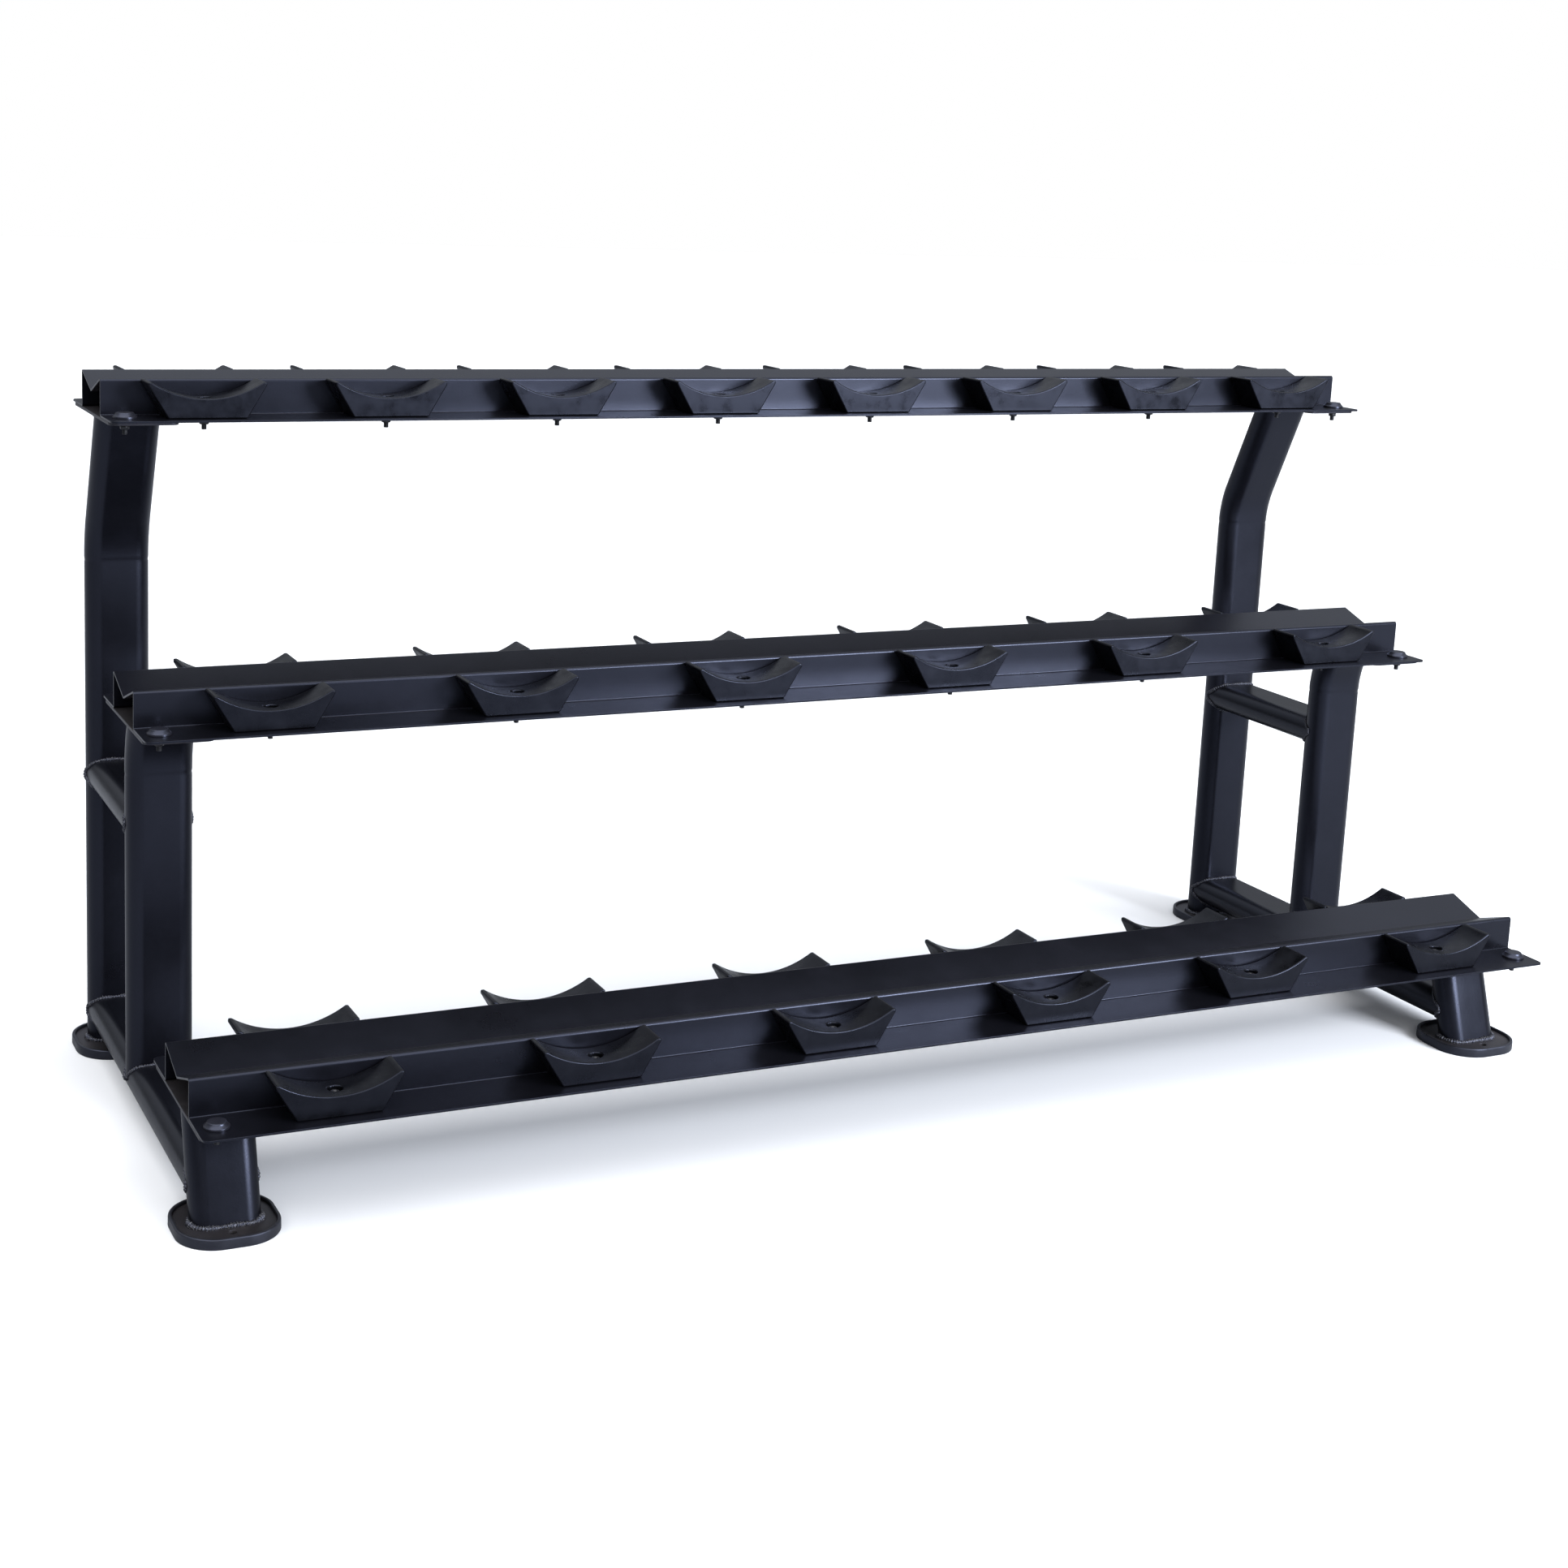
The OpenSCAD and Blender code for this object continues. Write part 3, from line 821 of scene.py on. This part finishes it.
def saddle_mesh(width, length, height):
    """Moulded saddle: a curved cradle with pointed tips, soft edges and a screw recess."""
    half, base = width / 2, SADDLE_BASE_W / 2
    cradle = half - TIP_FLAT
    rise = height - SADDLE_LOW_H
    arc_r = (cradle ** 2 + rise ** 2) / (2 * rise)
    steps = 40
    outline = [(-base, 0), (base, 0), (half, height - TIP_SIDE), (half, height)]
    for i in range(steps + 1):
        a = math.asin(cradle / arc_r) * (1 - 2 * i / steps)
        outline.append((arc_r * math.sin(a), SADDLE_LOW_H + arc_r * (1 - math.cos(a))))
    outline += [(-half, height), (-half, height - TIP_SIDE)]
    rings = [[(x, y, z) for x, z in outline] for y in (-length / 2, length / 2)]
    verts, faces = loft(rings, close_ends=True)
    body = bpy.data.objects.new("saddle_blank", mesh_from("saddle_blank", verts, faces))
    bpy.context.collection.objects.link(body)
    recess = circle(RECESS_R, 40)
    rings = [[(x, y, z) for x, y in recess] for z in (RECESS_FLOOR, height + 10 * MM)]
    verts, faces = loft(rings, close_ends=True)
    cutter = bpy.data.objects.new("saddle_cutter", mesh_from("saddle_cutter", verts, faces))
    bpy.context.collection.objects.link(cutter)
    cut = body.modifiers.new("recess", "BOOLEAN")
    cut.object = cutter
    cut.solver = "EXACT"
    bevel = body.modifiers.new("edges", "BEVEL")
    bevel.width = SADDLE_EDGE
    bevel.segments = 4
    bevel.limit_method = "ANGLE"
    bevel.angle_limit = math.radians(35)
    bevel.use_clamp_overlap = False
    normals = body.modifiers.new("normals", "WEIGHTED_NORMAL")
    normals.weight = 70
    mesh = evaluated(body, "saddle")
    for helper in (body, cutter):
        bpy.data.objects.remove(helper)
    return mesh


def build_saddles():
    lo, hi, _ = box_of("lower_saddles_1")
    shelf_lo, shelf_hi, _ = box_of("lower_shelf")
    width, height = hi.x - lo.x, hi.z - lo.z
    inner = (shelf_hi.y - shelf_lo.y) / 2 - FLANGE_W + SHEET / 2 + SADDLE_GAP
    length = (hi.y - lo.y) / 2 - inner
    mesh = saddle_mesh(width, length, height)
    mesh.materials.append(RUBBER)
    for tier in TIERS:
        for i in range(1, PLACES[tier] + 1):
            node = f"{tier}_saddles_{i}"
            lo, hi, mid = box_of(node)
            rows = (("front", lo.y + length / 2, 0), ("rear", hi.y - length / 2, math.pi))
            for row, y, turn in rows:
                copy = mesh.copy()
                copy.transform(Matrix.Rotation(turn, 4, "Z"))
                copy.transform(Matrix.Translation((mid.x, y, lo.z)))
                add_piece(f"{tier}_{row}_saddle_{i}", copy, RUBBER, [node])


# ---------- Fasteners ----------


def turned(profile, steps):
    """Rings of a turned piece; profile is (radius, height)."""
    return [[(x, y, z) for x, y in circle(r, steps)] for r, z in profile]


def arc_profile(cr, cz, r, start, end, steps):
    """Points of an arc in a turned profile, angles in degrees."""
    out = []
    for i in range(steps + 1):
        a = math.radians(start + (end - start) * i / steps)
        out.append((cr + r * math.cos(a), cz + r * math.sin(a)))
    return out


def hex_radius(angle, flats):
    """Distance from a hexagon's centre to its edge."""
    return flats / 2 / math.cos((angle + math.pi / 6) % (math.pi / 3) - math.pi / 6)


def nut_mesh():
    """M8 nut with chamfered corners, standing down from 0."""
    steps, chamfer = 48, math.tan(math.radians(30))
    angles = [math.tau * i / steps for i in range(steps)]
    around = [hex_radius(a, NUT_FLATS) for a in angles]
    upper = [(r, -(r - NUT_FACE_R) * chamfer) for r in around]
    lower = [(r, -NUT_H + (r - NUT_FACE_R) * chamfer) for r in around]
    levels = [
        [(BOLT_R, 0)] * steps,
        [(NUT_FACE_R, 0)] * steps,
        upper,
        lower,
        [(NUT_FACE_R, -NUT_H)] * steps,
        [(BOLT_R, -NUT_H + 0.4 * MM)] * steps,
    ]
    rings = []
    for level in levels:
        rings.append([(r * math.cos(a), r * math.sin(a), z) for a, (r, z) in zip(angles, level)])
    return mesh_from("nut", *loft(rings + [rings[0]]))


def thread_mesh():
    """Threaded stud end, standing down from 0."""
    around, per_turn = 20, 5
    rows = round(THREAD_END / THREAD_PITCH * per_turn)
    rings = []
    for k in range(rows + 1):
        z = -THREAD_END * k / rows
        taper = 0.7 if k == rows else 1
        ring = []
        for i in range(around):
            a = math.tau * i / around
            groove = 0.5 - 0.5 * math.cos(math.tau * (z / THREAD_PITCH + i / around))
            r = (BOLT_R - 0.55 * MM * groove) * taper
            ring.append((r * math.cos(a), r * math.sin(a), z))
        rings.append(ring)
    return mesh_from("thread", *loft(rings, close_ends=True))


def washer_mesh(radius):
    """Flat washer with soft edges, hanging down from 0."""
    soft, cut = 0.35 * MM, 0.1 * MM
    under = -WASHER_T
    top = [(BOLT_R, 0), (radius - soft, 0), (radius - cut, -cut), (radius, -soft)]
    foot = [(radius, under + soft), (radius - cut, under + cut), (radius - soft, under)]
    rings = turned(top + foot + [(BOLT_R, under)], 40)
    return mesh_from("washer", *loft(rings + [rings[0]]))


def cap_mesh():
    """Large flat-domed bolt head, its underside at 0."""
    profile = [(0.5 * MM, 0), (CAP_R - 0.4 * MM, 0), (CAP_R, 0.4 * MM), (CAP_R, 2.6 * MM)]
    profile += arc_profile(CAP_R - 0.9 * MM, 2.6 * MM, 0.9 * MM, 15, 60, 3)
    profile += [(CAP_R - 2.6 * MM, 5.2 * MM), (CAP_R - 4.2 * MM, CAP_H - 1.6 * MM)]
    profile += arc_profile(CAP_R - 6.2 * MM, CAP_H - 2.6 * MM, 2.3 * MM, 35, 75, 4)
    profile += [(CAP_R - 9 * MM, CAP_H - 0.1 * MM), (CAP_R - 13 * MM, CAP_H), (0.5 * MM, CAP_H)]
    mesh = mesh_from("cap", *loft(turned(profile, 56), close_ends=True))
    mesh.set_sharp_from_angle(angle=math.radians(28))
    return mesh


def screw_head_mesh():
    """Socket head of a saddle screw, its underside at 0."""
    steps, chamfer = 36, 0.3 * MM
    profile = (
        (SCREW_HEAD_R, 0),
        (SCREW_HEAD_R, SCREW_HEAD_H - 0.7 * MM),
        (SCREW_HEAD_R - 0.5 * MM, SCREW_HEAD_H),
        (SOCKET_R, SCREW_HEAD_H),
    )
    rings = turned(profile, steps)
    angles = [math.tau * i / steps for i in range(steps)]
    for z in (SCREW_HEAD_H - chamfer, SCREW_HEAD_H - SOCKET_DEPTH):
        around = [(a, hex_radius(a, SOCKET_FLATS)) for a in angles]
        rings.append([(r * math.cos(a), r * math.sin(a), z) for a, r in around])
    return mesh_from("screw_head", *loft(rings, close_ends=True))


def build_fasteners():
    nut, cap, head, thread = nut_mesh(), cap_mesh(), screw_head_mesh(), thread_mesh()
    shelf_washer, saddle_washer = washer_mesh(SHELF_WASHER_R), washer_mesh(SADDLE_WASHER_R)
    names = {
        "shelf_washer": ("shelf_washers", "shelf_bolt_washers"),
        "shelf_nut": ("shelf_nuts", "shelf_bolt_nuts"),
        "head": ("saddle_screw_heads", "saddle_screws"),
        "saddle_washer": ("saddle_washers", "saddle_screw_washers"),
        "saddle_nut": ("saddle_nuts", "saddle_screw_nuts"),
    }
    parts = {key: [] for key in (*TIERS, *names)}

    def put(key, mesh, x, y, z, spun=False):
        spin = Matrix.Rotation(rng.uniform(0, math.tau), 4, "Z") if spun else Matrix()
        parts[key].append((mesh, Matrix.Translation((x, y, z)) @ spin))

    for tier in TIERS:
        shelf_lo, shelf_hi, _ = box_of(f"{tier}_shelf")
        lo, hi, _ = box_of(f"{tier}_shelf_bolts")
        under = box_of(f"left_{tier}_shelf_plate")[0].z
        for x in (lo.x + CAP_R, hi.x - CAP_R):
            for y in (lo.y + CAP_R, hi.y - CAP_R):
                put(tier, cap, x, y, shelf_lo.z + SHEET)
                put("shelf_washer", shelf_washer, x, y, under)
                put("shelf_nut", nut, x, y, under - WASHER_T, spun=True)
                put("shelf_nut", thread, x, y, under - WASHER_T - NUT_H)
        flange = (shelf_hi.y - shelf_lo.y) / 2 - FLANGE_W + SHEET / 2 + SADDLE_GAP
        under = shelf_lo.z
        for i in range(1, PLACES[tier] + 1):
            lo, hi, mid = box_of(f"{tier}_saddles_{i}")
            half = ((hi.y - lo.y) / 2 - flange) / 2
            for y in (lo.y + half, hi.y - half):
                put("head", head, mid.x, y, lo.z + RECESS_FLOOR)
                put("saddle_washer", saddle_washer, mid.x, y, under)
                put("saddle_nut", nut, mid.x, y, under - WASHER_T, spun=True)
                put("saddle_nut", thread, mid.x, y, under - WASHER_T - NUT_H)
    for tier in TIERS:
        mesh = joined(f"{tier}_caps", parts[tier])
        add_piece(f"{tier}_bolt_heads", mesh, CAP, [f"{tier}_shelf_bolts"])
    for key, (name, node) in names.items():
        add_piece(name, joined(key, parts[key]), ZINC, [node])


# ---------- Stage ----------


def build_floor():
    """Plain pale floor, which throws back less light than the camera sees."""
    mesh = bpy.data.meshes.new("floor")
    signs = ((-1, -1), (1, -1), (1, 1), (-1, 1))
    corners = [(sx * FLOOR_HALF, sy * FLOOR_HALF, 0) for sx, sy in signs]
    mesh.from_pydata(corners, [], [(0, 1, 2, 3)])
    floor = bpy.data.objects.new("floor", mesh)
    bpy.context.collection.objects.link(floor)
    n = Nodes("floor")
    tone = n.noise(0.7, 3.0, 0.5)
    pale = n.blend(tone, *FLOOR_SEEN)
    path = n.add("ShaderNodeLightPath")
    color = n.blend(path.outputs["Is Camera Ray"], FLOOR_LIT, pale)
    normal = n.bump(n.noise(300.0, 3.0, 0.5), 0.05, 0.1 * MM)
    roughness = n.ramp(tone, 0, 1, 0.7, 0.8)
    mesh.materials.append(n.finish(color, roughness, normal, 0.2, (1, 1, 1)))


def build_world():
    """Surround: plain white to the camera; for light, dim at the horizon and brighter above."""
    world = bpy.data.worlds.new("studio")
    world.use_nodes = True
    bpy.context.scene.world = world
    nodes, links = world.node_tree.nodes, world.node_tree.links
    seen = nodes["Background"]
    seen.inputs["Color"].default_value = (1, 1, 1, 1)
    seen.inputs["Strength"].default_value = 1.0
    room = nodes.new("ShaderNodeBackground")
    room.inputs["Color"].default_value = (*COOL_LIGHT, 1)
    way = nodes.new("ShaderNodeTexCoord")
    split = nodes.new("ShaderNodeSeparateXYZ")
    links.new(way.outputs["Generated"], split.inputs["Vector"])
    rise = nodes.new("ShaderNodeMapRange")
    rise.inputs["From Min"].default_value, rise.inputs["From Max"].default_value = ROOM_Z
    rise.inputs["To Min"].default_value, rise.inputs["To Max"].default_value = ROOM_STRENGTH
    links.new(split.outputs["Z"], rise.inputs["Value"])
    links.new(rise.outputs["Result"], room.inputs["Strength"])
    path = nodes.new("ShaderNodeLightPath")
    mix = nodes.new("ShaderNodeMixShader")
    links.new(path.outputs["Is Camera Ray"], mix.inputs["Fac"])
    links.new(room.outputs["Background"], mix.inputs[1])
    links.new(seen.outputs["Background"], mix.inputs[2])
    links.new(mix.outputs["Shader"], nodes["World Output"].inputs["Surface"])


def add_light(data, place, way):
    """Puts a light in the scene, shining along way."""
    light = bpy.data.objects.new(data.name, data)
    bpy.context.collection.objects.link(light)
    light.location = place
    light.rotation_mode = "QUATERNION"
    light.rotation_quaternion = way.to_track_quat("-Z", "Y")


def build_light():
    """Soft studio light: the surround, a broad light from above and a softbox in front."""
    bpy.context.scene.view_settings.view_transform = "Standard"
    build_world()
    overhead = bpy.data.lights.new("overhead", "SUN")
    overhead.energy = OVERHEAD_STRENGTH
    overhead.angle = OVERHEAD_ANGLE
    add_light(overhead, (0, 0, 0), Vector(OVERHEAD_WAY))
    softbox = bpy.data.lights.new("softbox", "AREA")
    softbox.shape = "RECTANGLE"
    softbox.size, softbox.size_y = SOFTBOX_SIZE
    softbox.energy = SOFTBOX_POWER
    softbox.color = COOL_LIGHT
    add_light(softbox, SOFTBOX_AT, Vector(SOFTBOX_AIM) - Vector(SOFTBOX_AT))


def build_camera():
    """Camera at the photograph's angle."""
    forward = -Vector(
        (
            math.sin(AZIMUTH) * math.cos(ELEVATION),
            -math.cos(AZIMUTH) * math.cos(ELEVATION),
            math.sin(ELEVATION),
        )
    )
    right = forward.cross(Vector((0, 0, 1))).normalized()
    up = right.cross(forward)
    x_axis = math.cos(ROLL) * right + math.sin(ROLL) * up
    y_axis = -math.sin(ROLL) * right + math.cos(ROLL) * up
    data = bpy.data.cameras.new("camera")
    data.sensor_width = 36.0
    data.lens = LENS
    data.shift_x, data.shift_y = SHIFT_X, SHIFT_Y
    data.clip_end = 100
    camera = bpy.data.objects.new("camera", data)
    bpy.context.collection.objects.link(camera)
    turn = Matrix((x_axis, y_axis, -forward)).transposed().to_4x4()
    camera.matrix_world = Matrix.Translation(CAMERA_AT) @ turn
    bpy.context.scene.camera = camera


# ---------- Build ----------

build_shelves()
for side_name in SIDES:
    layout = side_layout(side_name)
    build_tubes(side_name, layout)
    build_welds(side_name, layout)
build_plates()
build_feet()
build_saddles()
build_fasteners()
build_floor()
build_light()
build_camera()
